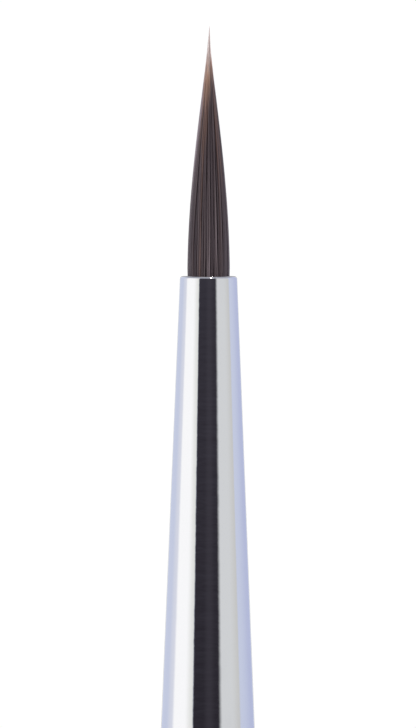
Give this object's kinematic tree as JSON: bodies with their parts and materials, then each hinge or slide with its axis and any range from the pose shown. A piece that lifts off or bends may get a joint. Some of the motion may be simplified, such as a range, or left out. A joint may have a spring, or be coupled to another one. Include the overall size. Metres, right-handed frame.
{
  "type": "fine detail brush",
  "caption": "Small round brush with a pointed tuft in a polished conical ferrule, crimped on a turned, varnished wooden handle with a dipped tail.",
  "frame": {"origin": "lowest point of the handle's tail, on the brush's axis", "axes": "+Z along the brush from the tail of the handle to the point of the hair; the brush is round about Z; +X and +Y are the directions in which the tuft bends sideways and to the front and back"},
  "size_m": [0.0068, 0.0068, 0.1705],
  "materials": {
    "turned_wood": "sanded",
    "clear_varnish": "gloss",
    "dip_lacquer": "gloss",
    "glue_film": "cured",
    "plated_brass": "polished",
    "potting_resin": "cured",
    "thread": "waxed twist",
    "hair": "fine tapered filaments"
  },
  "bodies": {
    "handle": {"clear_varnish": "clear_varnish", "handle_core": "turned_wood", "tail_dip_coat": "dip_lacquer", "tenon_glue": "glue_film", "ferrule": "plated_brass", "root_epoxy": "potting_resin", "binding_thread": "thread", "tuft_root": "hair"},
    "heel": {"tuft_heel": "hair"},
    "belly": {"tuft_belly": "hair"},
    "shoulder": {"tuft_shoulder": "hair"},
    "point": {"tuft_point": "hair"}
  },
  "joints": [
    {"name": "side_bend_heel", "type": "hinge", "parent": "handle", "child": "heel", "pos_m": [0, 0, 0.1622], "axis": [0, 1, 0], "range_deg": [-18, 18], "stiffness_Nm_per_rad": 0.0007},
    {"name": "front_bend_belly", "type": "hinge", "parent": "heel", "child": "belly", "pos_m": [0, 0, 0.1639], "axis": [1, 0, 0], "range_deg": [-20, 20], "stiffness_Nm_per_rad": 0.0005},
    {"name": "side_bend_shoulder", "type": "hinge", "parent": "belly", "child": "shoulder", "pos_m": [0, 0, 0.1654], "axis": [0, 1, 0], "range_deg": [-24, 24]},
    {"name": "front_bend_point", "type": "hinge", "parent": "shoulder", "child": "point", "pos_m": [0, 0, 0.1669], "axis": [1, 0, 0], "range_deg": [-26, 26]}
  ],
  "couplings": [
    {"joint": "side_bend_shoulder", "follows": "side_bend_heel", "ratio": 1.3},
    {"joint": "front_bend_point", "follows": "front_bend_belly", "ratio": 1.3}
  ]
}
